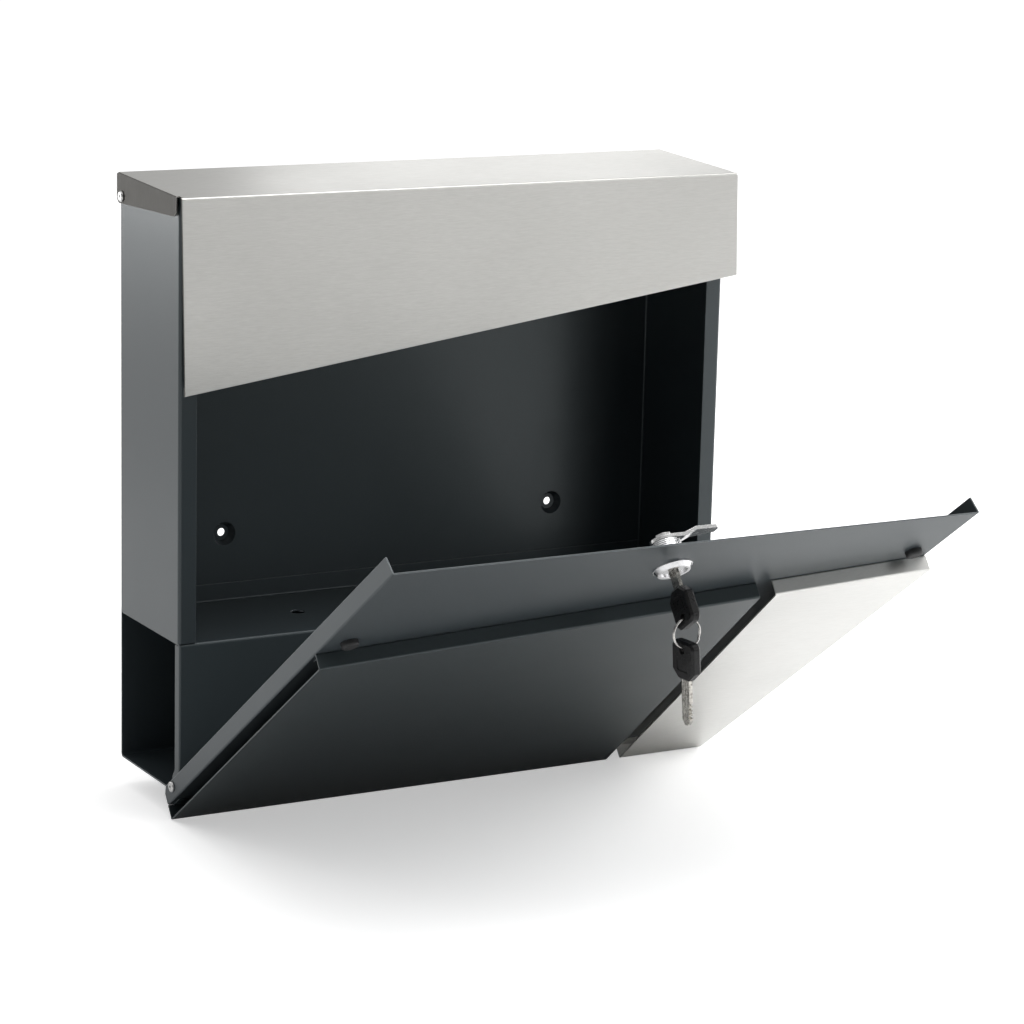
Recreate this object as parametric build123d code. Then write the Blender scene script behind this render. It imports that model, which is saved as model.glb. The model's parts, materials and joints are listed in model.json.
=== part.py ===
from build123d import *
import math
import os

# A wall mounted mailbox in folded sheet steel: a letter compartment over an open
# newspaper tube, a stainless rain flap hinged at the top, and a bottom hinged door
# with two raised panels, a cam lock and a pair of keys.
#
# Millimetres. X runs to the right as seen from the front, Y runs into the wall and Z
# runs up. The origin is on the wall, in the middle of the four screw holes. The door
# is modelled shut and then swung down to its open stop, which is how it is kept.

os.makedirs("parts", exist_ok=True)

# ---------------------------------------------------------------- driving sizes

# Case: back, sides and in-turned front edges folded from one sheet.
CASE_WIDTH = 366.8
CASE_DEPTH = 88.5
CASE_SHEET = 1.0
CASE_BEND = 2.0
FRONT_EDGE_WIDTH = 11.0
BACK_ABOVE_FLOOR = 258.0
CORNER_CLEARANCE = 1.3

# Newspaper tube under the letter compartment, open at both ends.
TUBE_HEIGHT = 92.2
TUBE_INSET = 0.6
TUBE_BEND = 2.5
TUBE_RETURN = 6.5
STRIP_BEND = 1.2
HINGE_EAR_DEPTH = 10.0
HINGE_EAR_UP = 5.0
HINGE_EAR_EASE = 0.1
TUBE_LIP = 14.0
FRONT_WALL_UP = 3.0
FLOOR_UPSTAND = 11.0
DRAIN_HOLE_RADIUS = 4.5
DRAIN_HOLE_SIDE = 86.0
DRAIN_HOLE_DEEP = 45.5

# Wall fixing: four holes in pressed feet that hold the back off the wall.
HOLE_SPACING_X = 230.0
HOLE_SPACING_Z = 170.0
LOWER_HOLES_UP = 134.0
HOLE_RADIUS = 2.5
FOOT_DEPTH = 5.0
FOOT_MOUTH_RADIUS = 8.7
FOOT_FACE_RADIUS = 6.0

# Strike rail across the top of the door opening.
RAIL_HEIGHT = 20.0
RAIL_BEND = 1.5
RAIL_BELOW_FLAP = 8.3

# Rain flap: top plate, cheeks and a long front skirt cut on the slant.
FLAP_SHEET = 0.8
FLAP_SIDE_GAP = 2.2
FLAP_ABOVE_BACK = 10.1
FLAP_FALL = 4.1
FLAP_REAR_INSET = 2.5
FLAP_OVERHANG = 9.6
FLAP_REAR_BEND = 3.0
FLAP_FRONT_BEND = 1.4
FLAP_LIP = 4.0
FLAP_PIVOT_DROP = 14.0
FLAP_PIVOT_IN = 7.5
FLAP_REST_GAP = 0.3
CHEEK_BELOW_PIVOT = 4.5
CHEEK_FRONT_RISE = 2.6
SLOT_WIDTH = 7.6
SLOT_ABOVE_BEND = 1.5
SKIRT_LEAN = 2.9
SKIRT_DROP = 88.2
HEM_HEIGHT = 5.0
SLANT = 7.7

# Door: a tray of thin sheet, hinged low on the sides of the newspaper tube.
DOOR_SHEET = 0.8
DOOR_FRONT_GAP = 0.5
DOOR_SIDE_GAP = 0.4
DOOR_RETURN = 11.0
DOOR_BEND = 1.2
DOOR_BELOW_BACK_TOP = 4.7
DOOR_BELOW_HINGE = 13.0
DOOR_TOP_SLOPE = 3.2
DOOR_RETURN_CUT = 3.6
DOOR_CORNER_RELIEF = 0.6
DOOR_RELIEF_BEHIND_FACE = 2.0
HINGE_UP = 4.0
HINGE_IN = 6.0
DOOR_OPEN = 54.4
DOOR_STOP_GAP = 0.3

# Raised panels on the door, parted by a gap square to the slant.
PANEL_SHEET = 0.8
PANEL_STANDOFF = 9.3
PANEL_BEND = 1.2
PANEL_SKIRT_GAP = 7.5
PANEL_RETURN = 11.0
PANEL_PARTING = 10.0
PARTING_X = 100.3
PARTING_UP = 127.5
PANEL_END_SETBACK = 3.0
PANEL_RIVET_EDGE = 30.0
PANEL_RIVET_INNER_EDGE = 15.0

# Rubber buffers that the flap rests on when the door is shut.
BUFFER_RADIUS = 5.0
BUFFER_HEIGHT = 3.5
BUFFER_ROUND = 1.6
BUFFER_FROM_EDGE = 14.6
BUFFER_ABOVE_PANEL = 11.5

# Blind rivets, in the hinges and through the raised panels.
PIVOT_SHANK = 1.6
PIVOT_HEAD = 3.3
PIVOT_HEAD_HEIGHT = 1.3
PIVOT_HEAD_ROUND = 0.9
PIVOT_TAIL = 2.4
PIVOT_TAIL_LENGTH = 2.4
PIVOT_TAIL_ROUND = 0.8
PIVOT_PLAY = 0.2
RUNNING_FIT = 0.06
MANDREL_RADIUS = 0.8
MANDREL_BROKEN_BELOW = 0.5
MANDREL_BALL_RADIUS = 1.4
MANDREL_BALL_LENGTH = 1.2
PANEL_RIVET_HEAD = 2.8
PANEL_RIVET_HEIGHT = 0.9
PANEL_RIVET_ROUND = 0.6
PANEL_RIVET_TAIL_LENGTH = 1.8
WASHER_RADIUS = 3.8
WASHER_SLACK = 0.1

# Cam lock in the middle of the door.
LOCK_BELOW_TOP = 33.5
LOCK_FLANGE_RADIUS = 11.4
LOCK_RIM_HEIGHT = 1.0
LOCK_RIM_STEP = 0.4
LOCK_FACE_RADIUS = 9.4
LOCK_FACE_HEIGHT = 3.5
LOCK_DISH_RADIUS = 7.6
LOCK_DISH_DEPTH = 1.2
BARREL_RADIUS = 8.5
BARREL_LENGTH = 14.0
BARREL_SLACK = 0.15
LOCK_NUT_FLATS = 22.0
LOCK_NUT_THICKNESS = 3.5
PLUG_RADIUS = 6.2
PLUG_EDGE_ROUND = 0.4
SPINDLE_SIDE = 7.0
SPINDLE_SHORT = 0.2
SPINDLE_SLACK = 0.1
STUD_RADIUS = 2.5
STUD_LENGTH = 3.0
CAM_SHEET = 2.0
CAM_GAP = 0.3
CAM_REACH = 31.5
CAM_ROOT_RADIUS = 8.4
CAM_TIP_WIDTH = 7.0
CAM_TIP_ROUND = 1.5
CAM_CRANK = 2.8
CRANK_START = 9.0
CRANK_END = 17.0
CRANK_BEND = 1.5
CAM_WASHER_RADIUS = 5.5
CAM_WASHER_THICKNESS = 0.8
CAM_NUT_FLATS = 8.0
CAM_NUT_THICKNESS = 1.8
RAIL_TO_CAM = 0.5
WAFER_COUNT = 4
WAFER_FIRST = 1.6
WAFER_PITCH = 2.3
WAFER_THICKNESS = 0.8
WAFER_WIDTH = 4.8
WAFER_HEIGHT = 10.4
WAFER_SLACK = 0.2

# Keys, and the ring that joins them.
BLADE_WIDTH = 7.0
BLADE_THICKNESS = 2.2
BLADE_LENGTH = 26.0
BLADE_TANG = 8.0
BLADE_POINT_LENGTH = 3.0
BLADE_POINT_HALF = 1.2
BLADE_POINT_ROUND = 0.4
BLADE_SHOULDER_ROUND = 0.5
KEYWAY_SLACK = 0.3
KEY_TIP_DEPTH = 13.4
TOOTH_WIDTH = 2.2
TOOTH_DEPTHS = (1.1, 1.6, 1.3, 1.8)
GROOVE_WIDTH = 1.4
GROOVE_DEPTH = 0.45
GROOVE_OFFSET = 0.9
GROOVE_INTO_BOW = 1.0
HEAD_LENGTH = 22.0
HEAD_WIDTH = 19.5
HEAD_THICKNESS = 6.0
HEAD_NECK_WIDTH = 8.4
HEAD_SHOULDER = 5.0
HEAD_BEVEL = 1.2
HEAD_CORNER_ROUND = 4.0
HEAD_SHOULDER_ROUND = 1.6
HEAD_NECK_ROUND = 1.4
THUMB_RECESS_UP = 9.0
THUMB_RECESS_WIDTH = 10.0
THUMB_RECESS_LENGTH = 8.0
THUMB_RECESS_DEPTH = 0.4
THUMB_RECESS_ROUND = 1.5
HEAD_HOLE_RADIUS = 2.3
HEAD_HOLE_EDGE = 5.0
RING_RADIUS = 8.3
RING_WIRE_RADIUS = 0.5
RING_PLAY = 0.4
SPARE_TURN = 5.0
SPARE_LEAN = 4.0

# ---------------------------------------------------------------- derived places

BASE_Z = -(LOWER_HOLES_UP + HOLE_SPACING_Z / 2)
FLOOR_Z = BASE_Z + TUBE_HEIGHT
BACK_TOP_Z = FLOOR_Z + BACK_ABOVE_FLOOR
FLAP_REAR_Z = BACK_TOP_Z + FLAP_ABOVE_BACK
FLAP_FRONT_Z = FLAP_REAR_Z - FLAP_FALL

BACK_Y = -FOOT_DEPTH
FRONT_Y = BACK_Y - CASE_DEPTH
FLAP_REAR_Y = BACK_Y - FLAP_REAR_INSET
FLAP_FRONT_Y = FRONT_Y - FLAP_OVERHANG

CASE_HALF = CASE_WIDTH / 2
TUBE_HALF = CASE_HALF - TUBE_INSET
FLAP_HALF = CASE_HALF + FLAP_SIDE_GAP + FLAP_SHEET
DOOR_HALF = CASE_HALF + DOOR_SIDE_GAP + DOOR_SHEET
OPENING_HALF = CASE_HALF - FRONT_EDGE_WIDTH
INNER_HALF = CASE_HALF - CASE_SHEET - CORNER_CLEARANCE

PIVOT_Y = FLAP_REAR_Y - FLAP_PIVOT_IN
PIVOT_Z = FLAP_REAR_Z - FLAP_PIVOT_DROP
HINGE_Y = FRONT_Y + HINGE_IN
HINGE_Z = BASE_Z + HINGE_UP
HINGE = Axis((0, HINGE_Y, HINGE_Z), (1, 0, 0))

DOOR_Y = FRONT_Y - DOOR_FRONT_GAP - DOOR_SHEET
DOOR_TOP_Z = BACK_TOP_Z - DOOR_BELOW_BACK_TOP
DOOR_BOTTOM_Z = HINGE_Z - DOOR_BELOW_HINGE
PANEL_Y = DOOR_Y - PANEL_STANDOFF

LOCK_Z = DOOR_TOP_Z - LOCK_BELOW_TOP
LOCK = Plane(origin=(0, DOOR_Y, LOCK_Z), x_dir=(1, 0, 0), z_dir=(0, -1, 0))
LOCK_REAR = -BARREL_LENGTH
CAM_FRONT = LOCK_REAR - CAM_GAP
CAM_REAR = CAM_FRONT - CAM_SHEET

RAIL_TOP_Z = FLAP_REAR_Z - RAIL_BELOW_FLAP
RAIL_REAR_Y = DOOR_Y - CAM_FRONT + CAM_CRANK - RAIL_TO_CAM

# How far the ring's wire drops across the thickness of a bow, and how far the wire's
# middle hangs below the middle of the bow's hole.
RING_DIP = RING_RADIUS - math.sqrt(RING_RADIUS**2 - (HEAD_THICKNESS / 2) ** 2)
RING_SAG = HEAD_HOLE_RADIUS - RING_WIRE_RADIUS - RING_DIP - RING_PLAY

FALL_SLOPE = FLAP_FALL / (FLAP_REAR_Y - FLAP_FRONT_Y)
SLANT_SLOPE = math.tan(math.radians(SLANT))
SKIRT_MID_Z = FLAP_FRONT_Z - SKIRT_DROP


def flap_z(y):
    """Height of the top plate's outer face at depth y."""
    return FLAP_REAR_Z - FALL_SLOPE * (FLAP_REAR_Y - y)


def skirt_edge_z(x):
    """Height of the skirt's slanted lower edge at x."""
    return SKIRT_MID_Z + SLANT_SLOPE * x


def panel_top_z(x):
    """Height of the raised panels' slanted top edge at x, with the door shut."""
    return skirt_edge_z(x) - PANEL_SKIRT_GAP


# ---------------------------------------------------------------- small helpers


def box(x0, x1, y0, y1, z0, z1):
    """A block from one corner to the opposite one."""
    centre = Pos((x0 + x1) / 2, (y0 + y1) / 2, (z0 + z1) / 2)
    return centre * Box(x1 - x0, y1 - y0, z1 - z0)


def outline(corners):
    """A closed face from corners (a, b) or, where the corner is round, (a, b, radius)."""
    points = [corner[:2] for corner in corners]
    radii = [corner[2] if len(corner) > 2 else 0 for corner in corners]
    return make_face(FilletPolyline(*points, radius=radii, close=True))


def side_section(corners, x0, x1):
    """A Y-Z outline pulled from x0 to x1."""
    return extrude(Plane.YZ.offset(x0) * outline(corners), amount=x1 - x0)


def front_section(corners, y_front, thickness):
    """An X-Z outline whose front is at y_front, with its thickness going backwards."""
    plane = Plane(origin=(0, y_front, 0), x_dir=(1, 0, 0), z_dir=(0, -1, 0))
    return extrude(plane * outline(corners), amount=-thickness)


def bar_x(x0, x1, y, z, radius):
    """A round bar along X."""
    return Plane.YZ.offset(x0) * Pos(y, z, (x1 - x0) / 2) * Cylinder(radius, x1 - x0)


def bar_y(x, y0, y1, z, radius):
    """A round bar along Y."""
    return Pos(x, (y0 + y1) / 2, z) * Rot(90, 0, 0) * Cylinder(radius, y1 - y0)


def both_sides(shape):
    """The shape and its mirror image across the middle of the mailbox."""
    return shape + mirror(shape, about=Plane.YZ)


def edges_at_y(shape, y):
    """The edges whose middle lies at depth y."""
    return shape.edges().filter_by(lambda e: abs(e.center().Y - y) < 0.01)


def save(name, shape):
    """Write one piece, or one group of like pieces."""
    export_step(shape, f"parts/{name}.step")


def save_on_door(name, shape):
    """Swing a piece that was modelled with the door shut, then write it."""
    save(name, shape.rotate(HINGE, DOOR_OPEN))


# ---------------------------------------------------------------- the case


def wall_feet():
    """Pressed feet and their hollows: cones that reach back to the wall, with holes."""
    length = FOOT_DEPTH + CASE_SHEET
    cone = Cone(FOOT_MOUTH_RADIUS, FOOT_FACE_RADIUS, length)
    inside = Cone(
        FOOT_MOUTH_RADIUS - CASE_SHEET, FOOT_FACE_RADIUS - CASE_SHEET, length
    )
    hollow = Pos(0, 0, -CASE_SHEET) * inside + Cylinder(HOLE_RADIUS, 3 * FOOT_DEPTH)
    feet, hollows = [], []
    for x in (-HOLE_SPACING_X / 2, HOLE_SPACING_X / 2):
        for z in (-HOLE_SPACING_Z / 2, HOLE_SPACING_Z / 2):
            place = Pos(x, -length / 2, z) * Rot(-90, 0, 0)
            feet.append(place * cone)
            hollows.append(place * hollow)
    return feet, hollows


def case_shell():
    """Back, sides and front edges, running down behind and under the newspaper tube."""
    inner_bend = CASE_BEND - CASE_SHEET
    rear_inside = BACK_Y - CASE_SHEET
    front_inside = FRONT_Y + CASE_SHEET
    outer = outline(
        [
            (-CASE_HALF, BACK_Y, CASE_BEND),
            (CASE_HALF, BACK_Y, CASE_BEND),
            (CASE_HALF, FRONT_Y, CASE_BEND),
            (-CASE_HALF, FRONT_Y, CASE_BEND),
        ]
    )
    inside_half = CASE_HALF - CASE_SHEET
    inner = outline(
        [
            (-inside_half, rear_inside, inner_bend),
            (inside_half, rear_inside, inner_bend),
            (inside_half, front_inside, inner_bend),
            (-inside_half, front_inside, inner_bend),
        ]
    )
    height = FLAP_REAR_Z - FLOOR_Z
    walls = extrude(Pos(0, 0, FLOOR_Z) * (outer - inner), amount=height)
    walls -= box(
        -OPENING_HALF, OPENING_HALF, FRONT_Y - 1, front_inside + 1, FLOOR_Z - 1, FLAP_REAR_Z
    )

    # The sides carry the flap at rest, and stay inside its rear lip's swing.
    under_flap = FLAP_SHEET + FLAP_REST_GAP
    above = [
        (1, BACK_TOP_Z),
        (BACK_Y, BACK_TOP_Z),
        (PIVOT_Y, flap_z(PIVOT_Y) - under_flap),
        (FRONT_Y - 1, flap_z(FRONT_Y - 1) - under_flap),
        (FRONT_Y - 1, FLAP_REAR_Z + 1),
        (1, FLAP_REAR_Z + 1),
    ]
    walls -= side_section(above, -CASE_HALF - 1, CASE_HALF + 1)

    tray_outside = [
        (BACK_Y, FLOOR_Z + CASE_BEND),
        (BACK_Y, BASE_Z, TUBE_BEND),
        (front_inside, BASE_Z, TUBE_BEND),
        (front_inside, FLOOR_Z + CASE_BEND),
    ]
    tray_bend = TUBE_BEND - CASE_SHEET
    tray_inside = [
        (rear_inside, FLOOR_Z + 2 * CASE_BEND),
        (rear_inside, BASE_Z + CASE_SHEET, tray_bend),
        (front_inside + CASE_SHEET, BASE_Z + CASE_SHEET, tray_bend),
        (front_inside + CASE_SHEET, FLOOR_Z + 2 * CASE_BEND),
    ]
    tray = side_section(tray_outside, -TUBE_HALF, TUBE_HALF)
    tray -= side_section(tray_inside, -TUBE_HALF, TUBE_HALF)
    lip_top = BASE_Z + TUBE_LIP
    tray -= box(-TUBE_HALF, TUBE_HALF, FRONT_Y, rear_inside - 1, lip_top, FLAP_REAR_Z)
    notch_half = TUBE_HALF - CASE_SHEET
    notch_rear = FRONT_Y + HINGE_EAR_DEPTH + CASE_SHEET
    tray -= both_sides(
        box(notch_half, TUBE_HALF + 1, FRONT_Y, notch_rear, BASE_Z - 1, lip_top + 1)
    )

    feet, hollows = wall_feet()
    shell = walls + tray + feet - hollows
    shell -= both_sides(bar_x(CASE_HALF - 3, CASE_HALF + 1, PIVOT_Y, PIVOT_Z, PIVOT_SHANK))
    return shell


def newspaper_bin():
    """The compartment floor, turned up at the back and down as the tube's front wall."""
    upstand_rear = BACK_Y - CASE_SHEET
    floor_under = FLOOR_Z - CASE_SHEET
    section = [
        (upstand_rear, FLOOR_Z + FLOOR_UPSTAND),
        (upstand_rear - CASE_SHEET, FLOOR_Z + FLOOR_UPSTAND),
        (upstand_rear - CASE_SHEET, FLOOR_Z, CASE_BEND - CASE_SHEET),
        (FRONT_Y, FLOOR_Z, CASE_BEND),
        (FRONT_Y, BASE_Z + FRONT_WALL_UP),
        (FRONT_Y + CASE_SHEET, BASE_Z + FRONT_WALL_UP),
        (FRONT_Y + CASE_SHEET, floor_under, CASE_BEND - CASE_SHEET),
        (upstand_rear, floor_under, CASE_BEND),
    ]
    sheet = side_section(section, -TUBE_HALF, TUBE_HALF)
    sheet -= both_sides(
        box(INNER_HALF, CASE_HALF, -20, upstand_rear + 1, FLOOR_Z, FLAP_REAR_Z)
    )

    # In-turned strips at the ends, with a wider ear rounded about the hinge so that
    # the door swings clear of it.
    strip_rear = FRONT_Y + TUBE_RETURN
    ear_rear = FRONT_Y + HINGE_EAR_DEPTH
    ear_top = HINGE_Z + HINGE_EAR_UP
    ear_round = HINGE_UP - HINGE_EAR_EASE
    strip_top = floor_under - CASE_SHEET / 2
    strip = side_section(
        [
            (FRONT_Y, strip_top),
            (FRONT_Y, HINGE_Z - HINGE_UP, ear_round),
            (ear_rear, HINGE_Z - HINGE_UP, ear_round),
            (ear_rear, ear_top, ear_round / 2),
            (strip_rear, ear_top + HINGE_EAR_UP, ear_round / 2),
            (strip_rear, strip_top),
        ],
        TUBE_HALF - CASE_SHEET,
        TUBE_HALF,
    )
    strip -= bar_x(TUBE_HALF - 3, TUBE_HALF + 1, HINGE_Y, HINGE_Z, PIVOT_SHANK)
    sheet += both_sides(strip)
    plan = outline(
        [
            (-TUBE_HALF, BACK_Y),
            (TUBE_HALF, BACK_Y),
            (TUBE_HALF, FRONT_Y, STRIP_BEND),
            (-TUBE_HALF, FRONT_Y, STRIP_BEND),
        ]
    )
    sheet &= extrude(Pos(0, 0, BASE_Z - 1) * plan, amount=FLAP_REAR_Z - BASE_Z)

    for x in (-DRAIN_HOLE_SIDE, DRAIN_HOLE_SIDE):
        hole = Pos(x, BACK_Y - DRAIN_HOLE_DEEP, FLOOR_Z) * Cylinder(DRAIN_HOLE_RADIUS, 5)
        sheet -= hole
    return sheet


def top_rail():
    """A channel between the sides: letters pass over it and the cam locks behind it."""
    front = FRONT_Y + CASE_SHEET
    bend = RAIL_BEND
    outside = [
        (front, RAIL_TOP_Z - RAIL_HEIGHT),
        (front, RAIL_TOP_Z, bend),
        (RAIL_REAR_Y, RAIL_TOP_Z, bend),
        (RAIL_REAR_Y, RAIL_TOP_Z - RAIL_HEIGHT),
    ]
    inside = [
        (front + CASE_SHEET, RAIL_TOP_Z - RAIL_HEIGHT - 1),
        (front + CASE_SHEET, RAIL_TOP_Z - CASE_SHEET, bend - CASE_SHEET),
        (RAIL_REAR_Y - CASE_SHEET, RAIL_TOP_Z - CASE_SHEET, bend - CASE_SHEET),
        (RAIL_REAR_Y - CASE_SHEET, RAIL_TOP_Z - RAIL_HEIGHT - 1),
    ]
    channel = side_section(outside, -INNER_HALF, INNER_HALF)
    return channel - side_section(inside, -INNER_HALF, INNER_HALF)


# ---------------------------------------------------------------- the rain flap


def flap():
    """Top plate with a rear lip, two cheeks, and the long skirt with its hemmed edge."""
    lean = math.tan(math.radians(SKIRT_LEAN))
    low_z = skirt_edge_z(-FLAP_HALF) - 2
    low_y = FLAP_FRONT_Y - lean * (FLAP_FRONT_Z - low_z)
    outside = [
        (FLAP_REAR_Y, low_z),
        (FLAP_REAR_Y, FLAP_REAR_Z, FLAP_REAR_BEND),
        (FLAP_FRONT_Y, FLAP_FRONT_Z, FLAP_FRONT_BEND),
        (low_y, low_z),
    ]
    t = FLAP_SHEET
    inside = [
        (FLAP_REAR_Y - t, low_z - 1),
        (FLAP_REAR_Y - t, FLAP_REAR_Z - t, FLAP_REAR_BEND - t),
        (FLAP_FRONT_Y + t, FLAP_FRONT_Z - t, FLAP_FRONT_BEND - t),
        (low_y + t, low_z - 1),
    ]
    sheet = side_section(outside, -FLAP_HALF, FLAP_HALF)
    sheet -= side_section(inside, -FLAP_HALF, FLAP_HALF)
    lip_bottom = FLAP_REAR_Z - FLAP_LIP
    sheet -= box(-FLAP_HALF, FLAP_HALF, FLAP_REAR_Y - 2, FLAP_REAR_Y, low_z, lip_bottom)

    slot_rear = FLAP_FRONT_Y + t + SLOT_WIDTH
    cheek_low = PIVOT_Z - CHEEK_BELOW_PIVOT
    cheek = side_section(
        [
            (FLAP_REAR_Y, flap_z(FLAP_REAR_Y) - t, 1.0),
            (FLAP_REAR_Y, cheek_low, FLAP_PIVOT_IN - PIVOT_HEAD),
            (slot_rear, cheek_low + CHEEK_FRONT_RISE, FLAP_PIVOT_IN - PIVOT_HEAD),
            (slot_rear, flap_z(slot_rear) - t / 2),
        ],
        FLAP_HALF - t,
        FLAP_HALF,
    )
    sheet += both_sides(cheek)
    long_edges = sheet.edges().filter_by(lambda e: e.length > CASE_DEPTH * 0.8)
    corner_edges = long_edges.filter_by(
        lambda e: abs(abs(e.center().X) - FLAP_HALF) < 0.01 and e.center().Z > PIVOT_Z
    )
    sheet = fillet(corner_edges.sort_by(Axis.Z)[-2:], t - 0.1)

    # Slot between each cheek and the skirt, with a round relief at the bend.
    slot_middle = FLAP_FRONT_Y + t + SLOT_WIDTH / 2
    slot = side_section(
        [
            (slot_middle - SLOT_WIDTH / 2, cheek_low - 1),
            (slot_middle - SLOT_WIDTH / 2, FLAP_FRONT_Z + SLOT_ABOVE_BEND, SLOT_WIDTH / 2 - 0.05),
            (slot_middle + SLOT_WIDTH / 2, FLAP_FRONT_Z + SLOT_ABOVE_BEND, SLOT_WIDTH / 2 - 0.05),
            (slot_middle + SLOT_WIDTH / 2, cheek_low - 1),
        ],
        FLAP_HALF - 2 * t,
        FLAP_HALF + 1,
    )
    sheet -= both_sides(slot)

    # The slanted lower edge, then a hem folded up behind it.
    below = [
        (-FLAP_HALF - 1, skirt_edge_z(-FLAP_HALF - 1)),
        (FLAP_HALF + 1, skirt_edge_z(FLAP_HALF + 1)),
        (FLAP_HALF + 1, low_z - 10),
        (-FLAP_HALF - 1, low_z - 10),
    ]
    sheet -= front_section(below, low_y - 5, FLAP_OVERHANG + 5)
    hem = [
        (-FLAP_HALF, skirt_edge_z(-FLAP_HALF)),
        (FLAP_HALF, skirt_edge_z(FLAP_HALF)),
        (FLAP_HALF, skirt_edge_z(FLAP_HALF) + HEM_HEIGHT),
        (-FLAP_HALF, skirt_edge_z(-FLAP_HALF) + HEM_HEIGHT),
    ]
    band = front_section(hem, low_y - 5, FLAP_OVERHANG + 5)
    fold = side_section(
        [
            (FLAP_FRONT_Y + t, FLAP_FRONT_Z),
            (FLAP_FRONT_Y + 2 * t, FLAP_FRONT_Z),
            (low_y + 2 * t, low_z),
            (low_y + t, low_z),
        ],
        -FLAP_HALF,
        FLAP_HALF,
    )
    sheet += band & fold
    sheet -= both_sides(
        bar_x(FLAP_HALF - 2, FLAP_HALF + 1, PIVOT_Y, PIVOT_Z, PIVOT_SHANK + RUNNING_FIT)
    )
    return sheet


# ---------------------------------------------------------------- pivots of flap and door


def pivot_rivet(y, z, inside_x, outside_x):
    """A blind rivet along X: domed head outside, set tail inside, hollow core."""
    head_x = outside_x + PIVOT_PLAY
    tail_x = inside_x - PIVOT_TAIL_LENGTH
    shank = bar_x(inside_x, head_x, y, z, PIVOT_SHANK)
    head = bar_x(head_x, head_x + PIVOT_HEAD_HEIGHT, y, z, PIVOT_HEAD)
    head_edge = head.edges().filter_by(GeomType.CIRCLE).sort_by(Axis.X)[-1]
    head = fillet(head_edge, PIVOT_HEAD_ROUND)
    tail = bar_x(tail_x, inside_x, y, z, PIVOT_TAIL)
    tail_edge = tail.edges().filter_by(GeomType.CIRCLE).sort_by(Axis.X)[0]
    tail = fillet(tail_edge, PIVOT_TAIL_ROUND)
    core = bar_x(tail_x - 1, head_x + PIVOT_HEAD_HEIGHT + 1, y, z, MANDREL_RADIUS)
    return both_sides(head + shank + tail - core)


def pivot_mandrel(y, z, inside_x, outside_x):
    """What stays of the rivet's pulling pin: a broken stem and the ball in the tail."""
    head_x = outside_x + PIVOT_PLAY + PIVOT_HEAD_HEIGHT
    tail_x = inside_x - PIVOT_TAIL_LENGTH
    stem = bar_x(tail_x, head_x - MANDREL_BROKEN_BELOW, y, z, MANDREL_RADIUS)
    ball = bar_x(tail_x - MANDREL_BALL_LENGTH, tail_x, y, z, MANDREL_BALL_RADIUS)
    ball_edge = ball.edges().filter_by(GeomType.CIRCLE).sort_by(Axis.X)[0]
    ball = fillet(ball_edge, MANDREL_BALL_LENGTH / 2)
    return both_sides(stem + ball)


def pivot_washer(y, z, against_x, gap):
    """A plain washer that keeps the turning cheek or return off the fixed sheet."""
    thickness = gap - PIVOT_PLAY
    ring = bar_x(against_x, against_x + thickness, y, z, WASHER_RADIUS)
    ring -= bar_x(against_x - 1, against_x + gap, y, z, PIVOT_SHANK + WASHER_SLACK)
    return both_sides(ring)


def pivots():
    """Rivets, their pins and washers for the flap and for the door."""
    side_in = CASE_HALF - CASE_SHEET
    cheek_out = FLAP_HALF
    save("flap_rivets", pivot_rivet(PIVOT_Y, PIVOT_Z, side_in, cheek_out))
    save("flap_rivet_pins", pivot_mandrel(PIVOT_Y, PIVOT_Z, side_in, cheek_out))
    save("flap_washers", pivot_washer(PIVOT_Y, PIVOT_Z, CASE_HALF, FLAP_SIDE_GAP))

    strip_in = TUBE_HALF - CASE_SHEET
    gap = DOOR_HALF - DOOR_SHEET - TUBE_HALF
    save("hinge_rivets", pivot_rivet(HINGE_Y, HINGE_Z, strip_in, DOOR_HALF))
    save("hinge_rivet_pins", pivot_mandrel(HINGE_Y, HINGE_Z, strip_in, DOOR_HALF))
    save("hinge_washers", pivot_washer(HINGE_Y, HINGE_Z, TUBE_HALF, gap))


# ---------------------------------------------------------------- the door


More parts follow.
